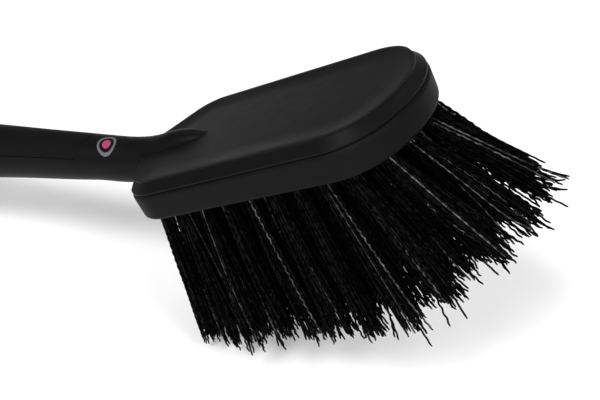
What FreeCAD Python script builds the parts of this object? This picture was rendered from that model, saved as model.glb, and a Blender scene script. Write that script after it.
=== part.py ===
import FreeCAD, Part
import os
from math import atan2, cos, degrees, radians, sin, sqrt, tan

# A hand-held wheel brush, in millimetres. Each piece is drawn in the head's own frame: X runs from
# the neck over the head to its toe, Y across it, and Z up out of its top face. A Placement then
# tips the whole brush back to the pose it rests in, with its heel bristles and the end of its
# handle on the ground, its toe towards +X and its plane of symmetry on XZ.

doc = FreeCAD.newDocument("wheel_brush")

# ---------------------------------------------------------------- driving dimensions

DIMENSIONS = {
    "head_length": 112.0,
    "head_width": 62.4,
    "head_thickness": 13.3,
    "heel_start": 6.0,
    "heel_width": 15.0,
    "heel_taper": 18.5,
    "heel_corner_radius": 14.0,
    "toe_crown_radius": 40.0,
    "toe_corner_radius": 19.0,
    "plate_thickness": 3.9,
    "plate_bevel": 3.2,
    "edge_round": 1.6,
    "dish_border": 0.8,
    "dish_slope": 8.0,
    "dish_depth": 0.7,
    "bumper_wall": 2.6,
    "bumper_bulge": 0.4,
    "bumper_round": 1.6,
    "seam_round": 0.3,
    "neck_rise": 16.9,
    "neck_height": -3.6,
    "neck_run": 58.0,
    "handle_length": 198.0,
    "handle_bow": 11.31,
    "handle_end_round": 6.0,
    "grip_start": 18.0,
    "grip_end": 172.0,
    "grip_nose": 10.0,
    "grip_wall": 1.8,
    "grip_parting": 0.42,
    "grip_gap": 0.2,
    "hang_hole_radius": 4.0,
    "hang_hole_run": 184.0,
    "tuft_rows": 11.0,
    "first_row": 13.2,
    "tuft_pitch": 8.7,
    "tuft_margin": 6.3,
    "toe_row_bow": 5.5,
    "tuft_root_radius": 2.0,
    "tuft_tip_radius": 2.8,
    "tuft_length": 54.5,
    "toe_tuft_length": 40.0,
    "tuft_collar": 1.2,
    "tuft_hole_depth": 8.5,
    "tuft_hole_radius": 2.03,
    "heel_flare": 13.0,
    "toe_flare": 40.0,
    "side_flare": 3.0,
    "upright_row": 64.0,
    "staple_width": 3.6,
    "staple_height": 1.6,
    "staple_gauge": 0.5,
    "staple_depth": 7.5,
    "staple_gap": 0.03,
    "rest_tilt": 27.5,
}

sheet = doc.addObject("Spreadsheet::Sheet", "sizes")
for row_number, (alias, value) in enumerate(DIMENSIONS.items(), start=1):
    sheet.set(f"A{row_number}", alias)
    sheet.set(f"B{row_number}", str(value))
    sheet.setAlias(f"B{row_number}", alias)
doc.recompute()


def size(alias):
    """A driving dimension as the sheet holds it."""
    return sheet.get(alias)


def bind(piece, **bindings):
    """Bind properties of a document object to expressions on the sheet."""
    for prop, expression in bindings.items():
        piece.setExpression(prop, expression)
    return piece


def add(kind, name, **values):
    """A new document object with some of its properties set."""
    piece = doc.addObject(kind, name)
    for prop, value in values.items():
        setattr(piece, prop, value)
    return piece


def point(x, y, z):
    return FreeCAD.Vector(x, y, z)


# ---------------------------------------------------------------- head block

HALF_HEEL = size("heel_width") / 2
HALF_HEAD = size("head_width") / 2
CROWN_CENTRE = size("head_length") - size("toe_crown_radius")
BOTTOM = -size("head_thickness")


def sharp_outline():
    """The head's outline before its corners are rounded, as a closed wire at Z = 0."""
    toe_x = CROWN_CENTRE + sqrt(size("toe_crown_radius") ** 2 - HALF_HEAD**2)
    corners = [
        point(size("heel_start"), HALF_HEEL, 0),
        point(size("heel_taper"), HALF_HEAD, 0),
        point(toe_x, HALF_HEAD, 0),
    ]
    mirrored = [point(corner.x, -corner.y, 0) for corner in reversed(corners)]
    edges = [Part.LineSegment(a, b).toShape() for a, b in zip(corners, corners[1:])]
    toe_tip = point(size("head_length"), 0, 0)
    edges.append(Part.Arc(corners[-1], toe_tip, mirrored[0]).toShape())
    edges += [Part.LineSegment(a, b).toShape() for a, b in zip(mirrored, mirrored[1:])]
    edges.append(Part.LineSegment(mirrored[-1], corners[0]).toShape())
    return Part.Wire(edges)


def edge_is_smooth(solid, edge):
    """Whether the two faces that meet at an edge run into each other without a corner."""
    middle = edge.valueAt((edge.FirstParameter + edge.LastParameter) / 2)
    normals = []
    for face in solid.ancestorsOfType(edge, Part.Face):
        normals.append(face.normalAt(*face.Surface.parameter(middle)))
    return abs(normals[0].dot(normals[1])) > 0.999


def rounded_outline():
    """The head's outline with its heel and toe corners rounded."""
    prism = Part.Face(sharp_outline()).extrude(point(0, 0, 1))
    for radius, first_x in (("toe_corner_radius", CROWN_CENTRE), ("heel_corner_radius", size("heel_start") + 1)):
        corners = []
        for edge in prism.Edges:
            box = edge.BoundBox
            upright = box.ZLength > 0.5 and box.XLength < 0.01 and box.YLength < 0.01
            if upright and box.XMin > first_x and not edge_is_smooth(prism, edge):
                corners.append(edge)
        prism = prism.makeFillet(size(radius), corners)
    base = [face for face in prism.Faces if face.BoundBox.ZMax < 0.01]
    return base[0].OuterWire


HEAD_OUTLINE = rounded_outline()


def outline_at(name, inset, height):
    """The head's outline, moved in by inset, as a wire at one height."""
    wire = HEAD_OUTLINE.copy() if inset == 0 else HEAD_OUTLINE.makeOffset2D(-inset)
    wire.translate(point(0, 0, height))
    return add("Part::Feature", name, Shape=wire)


def slab(name, inset, top, thickness):
    """A slab with the head's outline, moved in by inset, from the height top downwards."""
    base = outline_at(f"{name}_outline", inset, top)
    piece = add("Part::Extrusion", name, Base=base, Solid=True, DirMode="Custom", Dir=point(0, 0, -1))
    bind(piece, LengthFwd=thickness)
    doc.recompute()
    return piece


def edges_at(shape, *heights):
    """The numbers of a shape's edges that lie flat at one of these heights."""
    found = []
    for number, edge in enumerate(shape.Edges, start=1):
        box = edge.BoundBox
        if any(abs(box.ZMin - z) < 0.01 and abs(box.ZMax - z) < 0.01 for z in heights):
            found.append(number)
    return found


def eased(kind, name, base, radius, *heights):
    """Round or bevel every edge of a piece that lies flat at one of these heights."""
    numbers = edges_at(base.Shape, *heights)
    piece = add(kind, name, Base=base, Edges=[(n, radius, radius) for n in numbers])
    doc.recompute()
    return piece


# The plate is the head's upper part. Its top edge is a wide bevel with a rounded crest.
plate = slab("plate", 0, 0, "sizes.plate_thickness")
plate = eased("Part::Chamfer", "plate_bevel", plate, size("plate_bevel"), 0)
plate = eased("Part::Fillet", "plate_crest", plate, size("edge_round"), 0)
plate = eased("Part::Fillet", "plate_lip", plate, size("seam_round"), -size("plate_thickness"))

# The block under the plate is narrower all round by the wall of the soft bumper.
block = slab("block", size("bumper_wall"), 0, "sizes.head_thickness")

# The top face is dished: a shallow pan whose sides curve in from the crest and run out flat.
DISH_STEPS = 4
dish_rings = []
for ring in range(DISH_STEPS + 1):
    share = ring / DISH_STEPS
    inset = size("plate_bevel") + size("dish_border") + size("dish_slope") * share
    fall = size("dish_depth") * sin(radians(90 * share))
    dish_rings.append(outline_at(f"dish_ring_{ring}", inset, -fall))
pan = add("Part::Loft", "dish_pan", Solid=True, Sections=dish_rings)
head_solid = add("Part::Fuse", "head_solid", Base=plate, Tool=block)
head_block = add("Part::Cut", "head_block", Base=head_solid, Tool=pan)
doc.recompute()

# ---------------------------------------------------------------- handle

STEP = 2.0


def handle_axis():
    """X, Z and climb of the handle's axis, one every STEP, from the neck to the end.

    The axis climbs straight out of the neck, then bows back towards the ground.
    """
    x, z = 0.0, size("neck_height")
    stations = []
    for i in range(int(size("handle_length") / STEP) + 1):
        bowed = max(i * STEP - size("neck_run"), 0) / (size("handle_length") - size("neck_run"))
        climb = radians(size("neck_rise") - size("handle_bow") * bowed)
        stations.append((x, z, climb))
        x -= STEP * cos(climb)
        z += STEP * sin(climb)
    return stations


AXIS = handle_axis()

# Run along the axis from the neck, half the height and half the width of the section there.
HANDLE_SECTIONS = [
    (0, 8.2, 8.2),
    (12, 8.4, 8.5),
    (24, 8.8, 9.0),
    (40, 9.3, 9.7),
    (58, 9.9, 10.8),
    (84, 10.8, 12.4),
    (112, 11.2, 13.2),
    (140, 10.6, 12.6),
    (166, 9.6, 11.4),
    (184, 9.0, 10.6),
    (198, 8.6, 9.8),
]

# The handle runs out over the top of the head as a spine: X and Z of its centre, half its height
# and half its width.
SPINE_SECTIONS = [(46.0, -1.65, 0.8, 0.9), (30.0, -1.9, 2.8, 3.5), (14.0, -3.3, 6.0, 6.8)]


def station(run):
    """The handle's axis at one run from the neck: X, Z and its climb."""
    return AXIS[int(round(run / STEP))]


def half_height(run):
    """Half the handle's height at one run from the neck."""
    for (r0, t0, w0), (r1, t1, w1) in zip(HANDLE_SECTIONS, HANDLE_SECTIONS[1:]):
        if run <= r1:
            return t0 + (t1 - t0) * (run - r0) / (r1 - r0)


def square_to_axis(wire, x, z, climb):
    """Stand a wire drawn on the YZ plane square to the handle's axis."""
    wire.rotate(point(0, 0, 0), point(0, 1, 0), degrees(climb))
    wire.translate(point(x, 0, z))
    return wire


def ellipse_wire(tall, wide):
    """An ellipse on the YZ plane, from half its height and half its width."""
    rim = Part.Ellipse(point(0, 0, 0), max(tall, wide), min(tall, wide))
    wire = Part.Wire([rim.toShape()])
    if wide >= tall:
        wire.rotate(point(0, 0, 0), point(0, 0, 1), 90)
    wire.rotate(point(0, 0, 0), point(0, 1, 0), 90)
    return wire


def loft(name, wires, ruled=False):
    """A loft whose sections are these wires, in order."""
    sections = []
    for number, wire in enumerate(wires):
        sections.append(add("Part::Feature", f"{name}_section_{number}", Shape=wire))
    piece = add("Part::Loft", name, Sections=sections, Solid=True, Ruled=ruled)
    doc.recompute()
    return piece


def handle_wires(first_run, wall):
    """The handle's sections from one run on, each drawn in by a wall."""
    wires = []
    for run, tall, wide in HANDLE_SECTIONS:
        if run >= first_run:
            wires.append(square_to_axis(ellipse_wire(tall - wall, wide - wall), *station(run)))
    return wires


spine_wires = [square_to_axis(ellipse_wire(t, w), x, z, 0) for x, z, t, w in SPINE_SECTIONS]
handle = loft("handle", spine_wires + handle_wires(0, 0))
end_x, end_z, end_climb = AXIS[-1]
end_edges = []
for edge_number, edge in enumerate(handle.Shape.Edges, start=1):
    if (edge.CenterOfMass - point(end_x, 0, end_z)).Length < 0.5:
        end_edges.append((edge_number, size("handle_end_round"), size("handle_end_round")))
handle_rounded = add("Part::Fillet", "handle_rounded", Base=handle, Edges=end_edges)
doc.recompute()

# ---------------------------------------------------------------- grip inlay

BEYOND = 30.0


def over_axis(name, gap):
    """A solid over the top of the handle: the grip's room, wider than the grip by a gap."""
    nose = size("grip_nose")
    start, end = size("grip_start"), size("grip_end")
    outline = [(start, 0.1), (start + 0.3 * nose, 0.62), (start + nose, 1.0)]
    outline += [(run, 1.0) for run, tall, wide in HANDLE_SECTIONS if start + nose < run < end - nose]
    outline += [(end - nose, 1.0), (end - 0.3 * nose, 0.62), (end, 0.1)]
    wires = []
    for number, (run, share) in enumerate(outline):
        reach = BEYOND if share == 1.0 else share * half_height(run)
        low = half_height(run) * size("grip_parting") - gap
        corners = [(-reach - gap, low), (reach + gap, low), (reach + gap, BEYOND), (-reach - gap, BEYOND)]
        wire = Part.makePolygon([point(0, y, z) for y, z in corners + corners[:1]])
        push = {0: gap, len(outline) - 1: -gap}.get(number, 0)
        x, z, climb = station(run)
        wires.append(square_to_axis(wire, x + push * cos(climb), z - push * sin(climb), climb))
    return loft(name, wires, ruled=True)


grip_core = loft("grip_core", handle_wires(size("grip_start") - 12, size("grip_wall")))
grip_solid = add("Part::Common", "grip_solid", Base=handle, Tool=over_axis("grip_room", 0))
grip = add("Part::Cut", "handle_grip", Base=grip_solid, Tool=grip_core)
recess_room = add("Part::Common", "recess_room", Base=handle,
                  Tool=over_axis("grip_recess", size("grip_gap")))
recess = add("Part::Cut", "recess", Base=recess_room, Tool=grip_core)
doc.recompute()

# ---------------------------------------------------------------- tufts and their staples


def tuft_reach(x):
    """How far from the middle the outermost tuft of a row may stand, at one X."""
    margin = size("tuft_margin")
    taper = atan2(HALF_HEAD - HALF_HEEL, size("heel_taper") - size("heel_start"))
    heel = HALF_HEEL + (x - size("heel_start")) * tan(taper) - margin / cos(taper)
    crown = size("toe_crown_radius") - margin
    toe = sqrt(crown**2 - max(x - CROWN_CENTRE, 0) ** 2)
    return min(heel, HALF_HEAD - margin, toe)


def tuft_roots(row):
    """Where one row's tufts leave the head's underside, and the way each one points."""
    x = size("first_row") + row * size("tuft_pitch")
    reach = tuft_reach(x)
    count = 1 + round(2 * reach / size("tuft_pitch"))
    bow = size("toe_row_bow") * (row / (size("tuft_rows") - 1)) ** 3
    upright = size("upright_row")
    roots = []
    for i in range(count):
        across = -1 + 2 * i / (count - 1)
        root = point(x + bow * (1 - across**2), across * reach, BOTTOM)
        if root.x < upright:
            lean = -size("heel_flare") * ((upright - root.x) / (upright - size("first_row"))) ** 1.3
        else:
            last = size("head_length") - size("tuft_margin")
            lean = size("toe_flare") * ((root.x - upright) / (last - upright)) ** 1.9
        side = size("side_flare") * root.y / (HALF_HEAD - size("tuft_margin"))
        forward = sin(radians(lean)) * cos(radians(side))
        down = -cos(radians(lean)) * cos(radians(side))
        roots.append((root, point(forward, sin(radians(side)), down)))
    return roots


def along(root, direction, distance):
    """A Placement at a distance from a tuft's root, with Z along the tuft."""
    turn = FreeCAD.Rotation(point(0, 0, 1), direction)
    return FreeCAD.Placement(root + direction * distance, turn)


def staple_place(root, direction, width, gauge, height):
    """A Placement that centres a staple's box in its tuft hole."""
    place = along(root, direction, -size("staple_depth"))
    corner = place.Rotation.multVec(point(-width / 2, -gauge / 2, -height / 2))
    return FreeCAD.Placement(place.Base + corner, place.Rotation)


def tuft_length(root):
    """A tuft's free length: they grow shorter from the upright row to the toe."""
    toeward = max(root.x - size("upright_row"), 0) / (size("head_length") - size("upright_row"))
    return size("tuft_length") + (size("toe_tuft_length") - size("tuft_length")) * toeward**2


def tuft_parts(name, root, direction):
    """The two solids that one tuft is fused from: its root in the hole and its free length."""
    shank = add("Part::Cylinder", f"{name}_shank")
    bind(shank, Radius="sizes.tuft_root_radius", Height="sizes.tuft_hole_depth + sizes.tuft_collar")
    shank.Placement = along(root, direction, -size("tuft_hole_depth"))
    brush = add("Part::Cone", f"{name}_brush")
    bind(brush, Radius1="sizes.tuft_root_radius", Radius2="sizes.tuft_tip_radius")
    brush.Height = tuft_length(root) - size("tuft_collar")
    brush.Placement = along(root, direction, size("tuft_collar"))
    return [shank, brush]


def staple_box(name, root, direction, gap, through):
    """A staple's box, or with a gap the slot that it leaves through the whole tuft."""
    box = add("Part::Box", name)
    width = through or size("staple_width")
    bind(box, Width=f"sizes.staple_gauge + {2 * gap}", Height=f"sizes.staple_height + {2 * gap}")
    box.Length = width
    gauge, height = size("staple_gauge") + 2 * gap, size("staple_height") + 2 * gap
    box.Placement = staple_place(root, direction, width, gauge, height)
    return box


tuft_holes, tuft_nodes, staple_nodes = [], [], []
for row in range(int(size("tuft_rows"))):
    label = f"{row + 1:02d}"
    solids, slots, staples = [], [], []
    for i, (root, direction) in enumerate(tuft_roots(row)):
        name = f"row_{label}_tuft_{i}"
        solids += tuft_parts(name, root, direction)
        slots.append(staple_box(f"{name}_slot", root, direction, size("staple_gap"), 5.0))
        staples.append(staple_box(f"{name}_staple", root, direction, 0, None))
        hole = add("Part::Cylinder", f"{name}_hole")
        bind(hole, Radius="sizes.tuft_hole_radius", Height="sizes.tuft_hole_depth + 5")
        hole.Placement = along(root, direction, -size("tuft_hole_depth"))
        tuft_holes.append(hole)
    bundle = add("Part::MultiFuse", f"row_{label}_bundle", Shapes=solids)
    slot_group = add("Part::Compound", f"row_{label}_slots", Links=slots)
    tuft_nodes.append(add("Part::Cut", f"tufts_row_{label}", Base=bundle, Tool=slot_group))
    staple_nodes.append(add("Part::Compound", f"staples_row_{label}", Links=staples))
doc.recompute()

# ---------------------------------------------------------------- brush body and bumper

hole_x, hole_z, hole_climb = station(size("hang_hole_run"))
hang_hole = add("Part::Cylinder", "hang_hole")
bind(hang_hole, Radius="sizes.hang_hole_radius")
hang_hole.Height = 2 * BEYOND
hang_turn = FreeCAD.Rotation(point(0, 1, 0), degrees(hole_climb))
hang_hole.Placement = FreeCAD.Placement(
    point(hole_x, 0, hole_z) - hang_turn.multVec(point(0, 0, BEYOND)), hang_turn)

drillings = add("Part::Compound", "drillings", Links=tuft_holes + [recess, hang_hole])
moulding = add("Part::Fuse", "moulding", Base=head_block, Tool=handle_rounded)
body = add("Part::Cut", "brush_body", Base=moulding, Tool=drillings)

ring = slab("bumper_ring", -size("bumper_bulge"), -size("plate_thickness"),
            "sizes.head_thickness - sizes.plate_thickness")
ring = eased("Part::Fillet", "bumper_eased", ring, size("bumper_round"),
             -size("plate_thickness"), BOTTOM)
bumper = add("Part::Cut", "rim_bumper", Base=ring, Tool=moulding)
doc.recompute()

# ---------------------------------------------------------------- resting pose

nodes = [body, bumper, grip] + tuft_nodes + staple_nodes
tilt = FreeCAD.Rotation(point(0, 1, 0), -size("rest_tilt"))


def lowest_and_ends(pieces):
    """The lowest point, the least X and the greatest X of some pieces in the resting pose."""
    boxes = []
    for piece in pieces:
        shape = piece.Shape.copy()
        shape.Placement = FreeCAD.Placement(point(0, 0, 0), tilt).multiply(shape.Placement)
        boxes.append(shape.optimalBoundingBox(False, False))
    return min(b.ZMin for b in boxes), min(b.XMin for b in boxes), max(b.XMax for b in boxes)


ground, heel_end, toe_end = lowest_and_ends([body] + tuft_nodes)
rest = FreeCAD.Placement(point(-(heel_end + toe_end) / 2, 0, -ground), tilt)
for touching in ([body], tuft_nodes):
    print("lowest above the ground:", round(lowest_and_ends(touching)[0] - ground, 2))
print("hang hole at", rest.multVec(point(hole_x, 0, hole_z)), "along",
      rest.Rotation.multVec(hang_turn.multVec(point(0, 0, 1))))
print("head's own origin at", rest.Base)
for node in nodes:
    node.Placement = rest
doc.recompute()

# ---------------------------------------------------------------- checks and files

for thing in doc.Objects:
    if "Invalid" in thing.State or "Error" in thing.State:
        raise SystemExit(f"{thing.Name} did not recompute: {thing.State}")
for node in nodes:
    node.Label = node.Name
    if node.Shape.isNull() or not node.Shape.isValid():
        raise SystemExit(f"{node.Label} has no valid shape")

os.makedirs("parts", exist_ok=True)
for node in nodes:
    node.Shape.exportStep(f"parts/{node.Label}.step")
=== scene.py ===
from math import cos, pi, radians, sin

import bmesh
import bpy
import numpy as np
from mathutils import Matrix, Vector
from mathutils.bvhtree import BVHTree


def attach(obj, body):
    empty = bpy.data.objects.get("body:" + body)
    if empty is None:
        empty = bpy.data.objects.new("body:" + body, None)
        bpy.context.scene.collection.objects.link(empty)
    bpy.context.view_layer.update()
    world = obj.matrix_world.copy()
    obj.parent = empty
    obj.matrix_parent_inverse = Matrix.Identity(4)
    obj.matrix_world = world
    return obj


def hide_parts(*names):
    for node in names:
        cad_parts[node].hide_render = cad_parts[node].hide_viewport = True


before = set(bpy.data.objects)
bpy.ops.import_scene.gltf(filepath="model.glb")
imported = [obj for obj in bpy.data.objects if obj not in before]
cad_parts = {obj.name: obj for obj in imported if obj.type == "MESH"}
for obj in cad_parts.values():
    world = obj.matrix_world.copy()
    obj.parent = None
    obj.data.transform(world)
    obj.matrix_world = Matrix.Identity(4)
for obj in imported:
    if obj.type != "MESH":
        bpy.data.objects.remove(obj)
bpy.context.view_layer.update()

MM = 0.001
BODY = "root"
SEED = 41

# The head is tipped back in the resting pose. These are its long way, its upright way and the
# place where the handle meets its top face, in the row frame.
REST_TILT = radians(27.5)
HEAD_ALONG = np.array([cos(REST_TILT), 0, sin(REST_TILT)])
HEAD_ACROSS = np.array([0, 1.0, 0])
HEAD_UP = np.array([-sin(REST_TILT), 0, cos(REST_TILT)])
HEAD_ORIGIN = np.array([24.916, 0, 59.167]) * MM


def head_point(along, across, up):
    """A point in the head's own frame: mm towards the toe, across, and up from its top face."""
    return HEAD_ORIGIN + (HEAD_ALONG * along + HEAD_ACROSS * across + HEAD_UP * up) * MM


# ------------------------------------------------------------------ camera

VIEW_AZIMUTH = radians(20.1)
VIEW_ELEVATION = radians(37.4)
VIEW_ROLL = radians(0.9)
LENS_MM = 44.6
SENSOR_MM = 36.0
NECK_ALONG = 2.5  # the neck's place along the head, mm
NECK_DISTANCE = 0.2655  # from the camera to the neck, along the line of sight, m
NECK_LEFT = 0.0583  # how far the neck is left of the line of sight, m
NECK_ABOVE = 0.0171  # and how far above it, m
NEAREST_SEEN = 0.01  # m


def make_camera():
    """The camera looks down at the brush from its near side, a little towards the heel."""
    right = Vector((cos(VIEW_AZIMUTH), sin(VIEW_AZIMUTH), 0))
    level = Vector((-sin(VIEW_AZIMUTH), cos(VIEW_AZIMUTH), 0))
    forward = level * cos(VIEW_ELEVATION) - Vector((0, 0, sin(VIEW_ELEVATION)))
    up = right.cross(forward)
    neck = Vector(head_point(NECK_ALONG, 0, 0))
    place = neck + right * NECK_LEFT - up * NECK_ABOVE - forward * NECK_DISTANCE
    data = bpy.data.cameras.new("camera")
    data.lens = LENS_MM
    data.sensor_width = SENSOR_MM
    data.clip_start = NEAREST_SEEN
    camera = bpy.data.objects.new("camera", data)
    turn = Matrix((right, up, -forward)).transposed().to_4x4()
    camera.matrix_world = Matrix.Translation(place) @ turn @ Matrix.Rotation(VIEW_ROLL, 4, "Z")
    bpy.context.scene.collection.objects.link(camera)
    bpy.context.scene.camera = camera


make_camera()

# ------------------------------------------------------------------ materials


def material(name):
    """A new node material: its tree, its Principled node and a place for object coordinates."""
    made = bpy.data.materials.new(name)
    made.use_nodes = True
    tree = made.node_tree
    shader = tree.nodes["Principled BSDF"]
    where = tree.nodes.new("ShaderNodeTexCoord")
    return made, tree, shader, where.outputs["Object"]


def noise(tree, where, size_mm, detail=3.0, roughness=0.55):
    """Noise whose features are about this size."""
    node = tree.nodes.new("ShaderNodeTexNoise")
    node.inputs["Scale"].default_value = 1 / (size_mm * MM)
    node.inputs["Detail"].default_value = detail
    node.inputs["Roughness"].default_value = roughness
    tree.links.new(where, node.inputs["Vector"])
    return node.outputs["Fac"]


def ramp(tree, value, stops):
    """A colour ramp over a value, from (position, colour) stops."""
    node = tree.nodes.new("ShaderNodeValToRGB")
    marks = node.color_ramp.elements
    while len(marks) < len(stops):
        marks.new(0.5)
    for mark, (position, colour) in zip(marks, stops):
        mark.position = position
        mark.color = (*colour, 1)
    tree.links.new(value, node.inputs["Fac"])
    return node.outputs["Color"]


def span(tree, value, low, high, start=0.0, stop=1.0):
    """A value from start to stop spread between low and high."""
    node = tree.nodes.new("ShaderNodeMapRange")
    node.inputs["From Min"].default_value = start
    node.inputs["From Max"].default_value = stop
    node.inputs["To Min"].default_value = low
    node.inputs["To Max"].default_value = high
    tree.links.new(value, node.inputs["Value"])
    return node.outputs["Result"]


def bump(tree, shader, heights):
    """Bump from (height, depth in mm) pairs, one over the other."""
    normal = None
    for height, depth_mm in heights:
        node = tree.nodes.new("ShaderNodeBump")
        node.inputs["Distance"].default_value = depth_mm * MM
        tree.links.new(height, node.inputs["Height"])
        if normal is not None:
            tree.links.new(normal, node.inputs["Normal"])
        normal = node.outputs["Normal"]
    tree.links.new(normal, shader.inputs["Normal"])


def grey(value, blue=1.04):
    """A grey, very slightly blue unless told otherwise."""
    return (value, value, value * blue)


def moulded(name, tone, rough, grain_mm, grain_depth, specular):
    """Black moulded plastic or rubber: fine spark grain, faint flow marks and handling wear.

    Grain size, grain depth and flow depth are in mm.
    """
    flow_mm, flow_depth, flow_contrast = 14.0, 0.05, 0.12
    wear_mm, wear_contrast = 6.0, 0.06
    made, tree, shader, where = material(name)
    flow = noise(tree, where, flow_mm, detail=4.0)
    stops = [(0.3, grey(tone * (1 - flow_contrast))), (0.7, grey(tone * (1 + flow_contrast)))]
    tree.links.new(ramp(tree, flow, stops), shader.inputs["Base Color"])
    wear = noise(tree, where, wear_mm, detail=6.0, roughness=0.65)
    worn = span(tree, wear, rough - wear_contrast, rough + wear_contrast)
    tree.links.new(worn, shader.inputs["Roughness"])
    shader.inputs["Specular IOR Level"].default_value = specular
    grain = noise(tree, where, grain_mm, detail=2.0)
    bump(tree, shader, [(flow, flow_depth), (grain, grain_depth)])
    return made


def filament(name, tone, specular):
    """Black crimped filament: lighter and darker stretches, and a shine that comes and goes."""
    strand_mm, scuff_mm, glint_mm, nick_mm, nick_depth = 1.6, 0.8, 2.2, 0.25, 0.01
    made, tree, shader, where = material(name)
    strand = noise(tree, where, strand_mm, detail=2.0)
    stops = [(0.35, grey(tone * 0.5)), (0.65, grey(tone * 1.5))]
    tree.links.new(ramp(tree, strand, stops), shader.inputs["Base Color"])
    scuffed = noise(tree, where, scuff_mm, detail=3.0)
    tree.links.new(span(tree, scuffed, 0.22, 0.38), shader.inputs["Roughness"])
    glint = noise(tree, where, glint_mm, detail=1.0)
    shine = span(tree, glint, 0.1 * specular, specular, 0.42, 0.66)
    tree.links.new(shine, shader.inputs["Specular IOR Level"])
    bump(tree, shader, [(noise(tree, where, nick_mm), nick_depth)])
    return made


def drawn_wire(name):
    """Flat drawn wire: grey metal with fine draw marks."""
    made, tree, shader, where = material(name)
    marks = noise(tree, where, 0.3, detail=3.0)
    stops = [(0.3, grey(0.42, 1.0)), (0.7, grey(0.6, 1.0))]
    tree.links.new(ramp(tree, marks, stops), shader.inputs["Base Color"])
    shader.inputs["Metallic"].default_value = 1.0
    tree.links.new(span(tree, marks, 0.25, 0.45), shader.inputs["Roughness"])
    bump(tree, shader, [(marks, 0.01)])
    return made


def ink(name, colour):
    """Printed ink, slightly uneven in tone and shine."""
    made, tree, shader, where = material(name)
    thin = noise(tree, where, 0.5, detail=3.0)
    faded = tuple(c * 0.82 for c in colour)
    tree.links.new(ramp(tree, thin, [(0.3, faded), (0.6, colour)]), shader.inputs["Base Color"])
    tree.links.new(span(tree, thin, 0.4, 0.55), shader.inputs["Roughness"])
    bump(tree, shader, [(thin, 0.01)])
    return made


HARD = moulded("hard_plastic_black", 0.0030, 0.46, 0.30, 0.012, 0.07)
SOFT = moulded("soft_rubber_black", 0.0028, 0.56, 0.22, 0.015, 0.07)
GRIP = moulded("grip_rubber_black", 0.0034, 0.56, 0.22, 0.015, 0.05)
BRISTLE = filament("bristle_black", 0.0012, 0.07)
# Painted glint: this copy of the bristle material has a lighter base colour that stands in for
# light caught on the filaments. Its stronger specular shine is real and comes from the lamps.
GLINT_PAINTED_BRISTLE = filament("bristle_painted_glint", 0.006, 1.3)
WIRE = drawn_wire("staple_wire")

TUFT_ROWS = sorted(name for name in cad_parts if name.startswith("tufts_row_"))
STAPLE_ROWS = sorted(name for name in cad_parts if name.startswith("staples_row_"))

LOOKS = {"brush_body": HARD, "rim_bumper": SOFT, "handle_grip": GRIP}
LOOKS.update((node_name, WIRE) for node_name in STAPLE_ROWS)
for node_name, look in LOOKS.items():
    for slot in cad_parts[node_name].material_slots:
        slot.material = look

# ------------------------------------------------------------------ bristles

FILAMENTS = 46  # in each tuft
STEPS = 90  # along each filament
SIDES = 3  # round each filament
FILAMENT_RADIUS = 0.34 * MM
TIP_TAPER = (0.9, 0.6)  # of that radius, at a filament's last two steps
HOLE_DEPTH = 8.5 * MM
START_DEPTH = 3.0 * MM  # how far inside its hole a filament's mesh starts
GOLDEN_ANGLE = pi * (3 - 5**0.5)

# How far a tuft's filaments spread from its axis, at its root and at its tip.
BUNDLE_RADIUS = 1.72 * MM
TIP_SPREAD = 4.2 * MM
SPREAD_VARIES = 0.08  # share of the spread
SPREAD_POWER = 1.1
SPLAY = 0.35  # how much wider the leaning toe tufts spread

# How unlike each other tufts and filaments are. Each is a standard deviation.
TUFT_LENGTH_VARIES = 1.5 * MM
LENGTH_VARIES = 1.8 * MM
TUFT_LEAN = 0.6 * MM
FILAMENT_LEAN = 0.8 * MM
LEAN_POWER = 1.6
BOW = 0.55 * MM
HOOK = 0.9 * MM
HOOK_START = 0.75  # share of the free length
HOOK_GROWTH = 12

LONG_SHARE = 0.06  # of the filaments missed the trimmer
LONG_EXTRA = (1.0 * MM, 4.0 * MM)
PAINTED_GLINT_SHARE = 0.07  # of the filaments have a painted glint: a lighter base colour, besides a stronger shine from the lamps
STRAY_SHARE = 0.05  # of the filaments stand out of their tuft
STRAY_LEAN = 1.6  # how much more these lean, as a share of the usual lean

# The crimp: a small wave along each filament.
CRIMP_LENGTH = 2.8 * MM
CRIMP_LENGTH_RANGE = (0.88, 1.14)
CRIMP_DEPTH = 0.17 * MM
CRIMP_DEPTH_RANGE = (0.75, 1.25)
CRIMP_ONSET = 9  # the wave is full by one part in this many of the free length

GROUND_GAP = 0.35 * MM  # between the ground and a filament's centre line
TIP_STEPS = 12  # a filament's way over the ground is read from its last steps
SLIDE = 0.8  # how far it slides along the ground for each unit it would sink


def tuft_axes(node):
    """Each tuft of a row, as the centres of the two ends of its CAD solid, root end first."""
    mesh = bmesh.new()
    mesh.from_mesh(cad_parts[node].data)
    bmesh.ops.remove_doubles(mesh, verts=mesh.verts, dist=1e-6)
    mesh.verts.ensure_lookup_table()
    seen, axes = set(), []
    for start in mesh.verts:
        if start.index in seen:
            continue
        seen.add(start.index)
        island, queue = [], [start]
        while queue:
            vert = queue.pop()
            island.append(vert.co[:])
            for edge in vert.link_edges:
                other = edge.other_vert(vert)
                if other.index not in seen:
                    seen.add(other.index)
                    queue.append(other)
        axes.append(solid_axis(np.array(island)))
    mesh.free()
    axes.sort(key=lambda ends: ends[0][1])
    return axes


def solid_axis(points):
    """The centres of a slender solid's two ends, the one nearer the head's top first."""
    end_depth = 0.2 * MM
    centre = points.mean(axis=0)
    long_way = np.linalg.svd(points - centre, full_matrices=False)[2][0]
    along = (points - centre) @ long_way
    ends = []
    for rim in (points[along < along.min() + end_depth], points[along > along.max() - end_depth]):
        ends.append((rim.min(axis=0) + rim.max(axis=0)) / 2)
    ends.sort(key=lambda end: -(end @ HEAD_UP))
    return ends


def square_ways(direction):
    """Two unit vectors square to a direction and to each other."""
    first = np.cross(direction, HEAD_ACROSS)
    first /= np.linalg.norm(first)
    return first, np.cross(direction, first)


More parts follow.
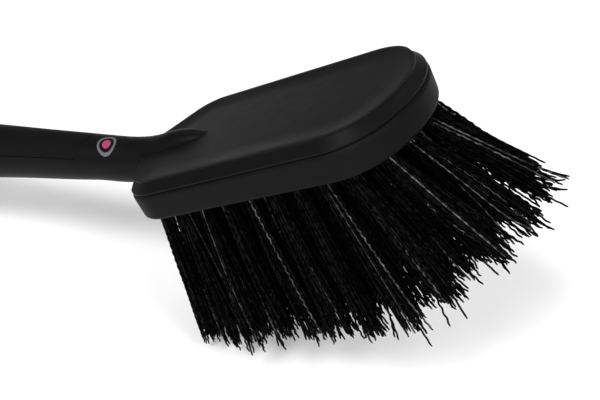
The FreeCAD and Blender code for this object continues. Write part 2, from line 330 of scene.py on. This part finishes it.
def filament_lines(root, tip, random):
    """The centre lines of one tuft's filaments, as an array of filament, step, xyz."""
    whole = np.linalg.norm(tip - root)
    direction = (tip - root) / whole
    free_length = whole - HOLE_DEPTH
    one, two = square_ways(direction)
    number = np.arange(FILAMENTS)
    share = np.sqrt((number + 0.5) / FILAMENTS)
    angle = number * GOLDEN_ANGLE + random.uniform(0, 2 * pi)
    tuft_length = free_length + random.normal(0, TUFT_LENGTH_VARIES)
    length = tuft_length + random.normal(0, LENGTH_VARIES, FILAMENTS)
    length += (random.random(FILAMENTS) < LONG_SHARE) * random.uniform(*LONG_EXTRA, FILAMENTS)
    run = np.linspace(0, 1, STEPS + 1)[None, :]
    free = np.clip((run * (length[:, None] + START_DEPTH) - START_DEPTH) / free_length, 0, None)

    toeward = max(direction @ HEAD_ALONG, 0)
    spread = TIP_SPREAD * (1 + SPLAY * toeward) * (1 + random.normal(0, SPREAD_VARIES))
    widening = (spread - BUNDLE_RADIUS) * share[:, None] * free**SPREAD_POWER
    out = BUNDLE_RADIUS * share[:, None] + widening
    stray = 1 + STRAY_LEAN * (random.random(FILAMENTS) < STRAY_SHARE)
    lean = random.normal(0, TUFT_LEAN, (2, 1))
    lean = lean + random.normal(0, FILAMENT_LEAN, (2, FILAMENTS)) * stray
    bow = random.normal(0, BOW, (2, FILAMENTS))
    hook = random.normal(0, HOOK, (2, FILAMENTS))
    sideways = []
    for axis, turn in enumerate((np.cos(angle), np.sin(angle))):
        line = out * turn[:, None] + lean[axis][:, None] * free**LEAN_POWER
        line += bow[axis][:, None] * np.sin(pi * np.clip(free, 0, 1))
        line += hook[axis][:, None] * np.clip(free - HOOK_START, 0, None) ** 2 * HOOK_GROWTH
        sideways.append(line)

    pitch = CRIMP_LENGTH * random.uniform(*CRIMP_LENGTH_RANGE, (FILAMENTS, 1))
    phase = random.uniform(0, 2 * pi, (FILAMENTS, 1))
    depth = CRIMP_DEPTH * random.uniform(*CRIMP_DEPTH_RANGE, (FILAMENTS, 1))
    depth = depth * np.clip(free * CRIMP_ONSET, 0, 1)
    wave = depth * np.sin(2 * pi * free * free_length / pitch + phase)
    way = random.uniform(0, pi, (FILAMENTS, 1))
    sideways[0] = sideways[0] + wave * np.cos(way)
    sideways[1] = sideways[1] + wave * np.sin(way)

    mouth = root + direction * (HOLE_DEPTH - START_DEPTH)
    reach = run * (length[:, None] + START_DEPTH)
    lines = mouth + reach[..., None] * direction
    lines = lines + sideways[0][..., None] * one + sideways[1][..., None] * two
    return rest_on_ground(lines)


def rest_on_ground(lines):
    """Bend the stretches that would pass through the ground out along it instead."""
    sunk = np.clip(GROUND_GAP - lines[..., 2], 0, None)
    level = lines[:, -1, :2] - lines[:, -TIP_STEPS, :2]
    level /= np.linalg.norm(level, axis=1)[:, None] + 1e-9
    lines[..., :2] += level[:, None, :] * sunk[..., None] * SLIDE
    lines[..., 2] += sunk
    return lines


def tube_arrays(lines):
    """Points and triangles of thin closed tubes round lines given as filament, step, xyz.

    The triangles come filament by filament.
    """
    ahead = np.gradient(lines, axis=1)
    ahead /= np.linalg.norm(ahead, axis=2)[..., None]
    one = np.cross(ahead, HEAD_ACROSS)
    one /= np.linalg.norm(one, axis=2)[..., None]
    two = np.cross(ahead, one)
    many, steps = lines.shape[:2]
    radii = np.full(steps, FILAMENT_RADIUS)
    radii[-len(TIP_TAPER):] *= TIP_TAPER
    turn = np.arange(SIDES) * 2 * pi / SIDES
    ring = np.cos(turn)[:, None] * one[:, :, None] + np.sin(turn)[:, None] * two[:, :, None]
    points = lines[:, :, None] + ring * radii[None, :, None, None]

    step, side = np.meshgrid(np.arange(steps - 1), np.arange(SIDES), indexing="ij")
    low, low_next = step * SIDES + side, step * SIDES + (side + 1) % SIDES
    high, high_next = low + SIDES, low_next + SIDES
    wall = np.concatenate([
        np.stack([low, low_next, high_next], axis=-1).reshape(-1, 3),
        np.stack([low, high_next, high], axis=-1).reshape(-1, 3),
    ])
    last = (steps - 1) * SIDES
    caps = np.array([[0, 2, 1], [last, last + 1, last + 2]])
    one_tube = np.concatenate([wall, caps])
    shifts = np.arange(many)[:, None, None] * steps * SIDES
    return points.reshape(-1, 3), (one_tube[None] + shifts).reshape(-1, 3)


def mesh_from_arrays(name, points, triangles):
    """A smooth mesh object from arrays of points and triangles."""
    mesh = bpy.data.meshes.new(name)
    mesh.vertices.add(len(points))
    mesh.vertices.foreach_set("co", points.astype(np.float32).ravel())
    mesh.loops.add(triangles.size)
    mesh.loops.foreach_set("vertex_index", triangles.astype(np.int32).ravel())
    mesh.polygons.add(len(triangles))
    mesh.polygons.foreach_set("loop_start", np.arange(len(triangles), dtype=np.int32) * 3)
    mesh.update(calc_edges=True)
    mesh.validate()
    mesh.polygons.foreach_set("use_smooth", np.ones(len(mesh.polygons), dtype=bool))
    piece = bpy.data.objects.new(name, mesh)
    bpy.context.scene.collection.objects.link(piece)
    return piece


def make_bristles():
    """One mesh of crimped filaments for each row, in the place of its CAD tufts."""
    for index, node in enumerate(TUFT_ROWS):
        random = np.random.default_rng(SEED + index)
        lines = [filament_lines(root, tip, random) for root, tip in tuft_axes(node)]
        lines = np.concatenate(lines)
        points, triangles = tube_arrays(lines)
        piece = mesh_from_arrays(node.replace("tufts", "bristles"), points, triangles)
        piece.data.materials.append(BRISTLE)
        piece.data.materials.append(GLINT_PAINTED_BRISTLE)
        # Painted glint: a random share of filaments get the lighter, shinier copy of the bristle
        # material.
        painted_glint = random.random(len(lines)) < PAINTED_GLINT_SHARE
        face_looks = np.repeat(painted_glint, len(triangles) // len(lines)).astype(np.int32)
        piece.data.polygons.foreach_set("material_index", face_looks)
        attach(piece, BODY)
        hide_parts(node)


make_bristles()

# ------------------------------------------------------------------ printed mark on the neck

MARK_RUN = 6.5  # from the neck along the handle, mm
MARK_SIDE = -3.0  # across the handle, mm
NECK_RISE = radians(16.9)
NECK_START = -3.6  # height of the handle's axis at the neck, mm
RAY_HEIGHT = 20  # over the handle's axis, where the rays down to its surface start, mm
INK_THICKNESS = 0.12 * MM
INK_LIFT = 0.02 * MM


def over_neck(along, across):
    """A point over the neck, from the mark's centre: mm towards the head and mm across."""
    run = MARK_RUN - along
    axis_height = NECK_START + run * sin(NECK_RISE)
    return head_point(-run * cos(NECK_RISE), across + MARK_SIDE, axis_height + RAY_HEIGHT)


def mark_piece(name, outlines, look):
    """Thin ink laid on the neck, from rings of points (along, across) in millimetres."""
    shape = bmesh.new()
    rings = []
    graph = bpy.context.evaluated_depsgraph_get()
    surface = BVHTree.FromObject(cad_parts["brush_body"], graph)
    down = Vector(-HEAD_UP)
    for outline in outlines:
        ring = []
        for along, across in outline:
            hit, normal = surface.ray_cast(Vector(over_neck(along, across)), down)[:2]
            ring.append(shape.verts.new(hit + normal * INK_LIFT))
        rings.append(ring)
    for inner, outer in zip(rings, rings[1:]):
        for i in range(len(inner)):
            j = (i + 1) % len(inner)
            shape.faces.new((inner[i], outer[i], outer[j], inner[j]))
    bmesh.ops.remove_doubles(shape, verts=shape.verts, dist=1e-7)
    bmesh.ops.recalc_face_normals(shape, faces=shape.faces)
    mesh = bpy.data.meshes.new(name)
    shape.to_mesh(mesh)
    shape.free()
    piece = bpy.data.objects.new(name, mesh)
    bpy.context.scene.collection.objects.link(piece)
    thick = piece.modifiers.new("thickness", "SOLIDIFY")
    thick.thickness = INK_THICKNESS
    thick.offset = 1
    mesh.materials.append(look)
    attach(piece, BODY)


def circle(radius):
    """Points round a circle about the mark's centre, in mm."""
    points = 48
    turns = [2 * pi * i / points for i in range(points)]
    return [(radius * cos(t), radius * sin(t)) for t in turns]


PINK = ink("ink_pink", (0.28, 0.03, 0.10))
PALE = ink("ink_pale", (0.085, 0.085, 0.088))
mark_piece("neck_mark_dot", [circle(r) for r in (0.01, 0.6, 1.2, 1.7)], PINK)
mark_piece("neck_mark_ring", [circle(r) for r in (2.9, 3.2, 3.5, 3.8)], PALE)

# ------------------------------------------------------------------ floor and light

LIGHT_AIM = Vector(head_point(50, 0, -20))
WORLD_STRENGTH = 0.185


def plain_floor():
    """A pale seamless floor, far wider than the view."""
    width, cloud_mm = 8, 300.0
    bpy.ops.mesh.primitive_plane_add(size=width)
    floor = bpy.context.object
    floor.name = "floor"
    made, tree, shader, where = material("pale_floor")
    faint = noise(tree, where, cloud_mm)
    stops = [(0, grey(0.90, 1.0)), (1, grey(0.92, 1.0))]
    tree.links.new(ramp(tree, faint, stops), shader.inputs["Base Color"])
    shader.inputs["Roughness"].default_value = 0.9
    shader.inputs["Specular IOR Level"].default_value = 0.1
    floor.data.materials.append(made)


def soft_light(name, place, size, power):
    """A square soft light that faces the bristles: its place and size in metres, power in watts."""
    data = bpy.data.lights.new(name, "AREA")
    data.size = size
    data.energy = power
    light = bpy.data.objects.new(name, data)
    place = Vector(place)
    turn = (LIGHT_AIM - place).to_track_quat("-Z", "Y").to_matrix().to_4x4()
    light.matrix_world = Matrix.Translation(place) @ turn
    bpy.context.scene.collection.objects.link(light)


plain_floor()
soft_light("key_light", (-0.45, -1.15, 1.8), 0.7, 34)
soft_light("front_light", (0.5, -2.0, 0.9), 1.2, 31)
soft_light("toe_light", (1.5, -0.4, 1.3), 1.2, 20)
soft_light("back_light", (-0.3, 1.1, 1.6), 1.6, 10)

world = bpy.data.worlds.new("studio")
bpy.context.scene.world = world
world.use_nodes = True
background = world.node_tree.nodes["Background"]
background.inputs["Color"].default_value = (1, 1, 1, 1)
background.inputs["Strength"].default_value = WORLD_STRENGTH
bpy.context.scene.view_settings.view_transform = "Standard"
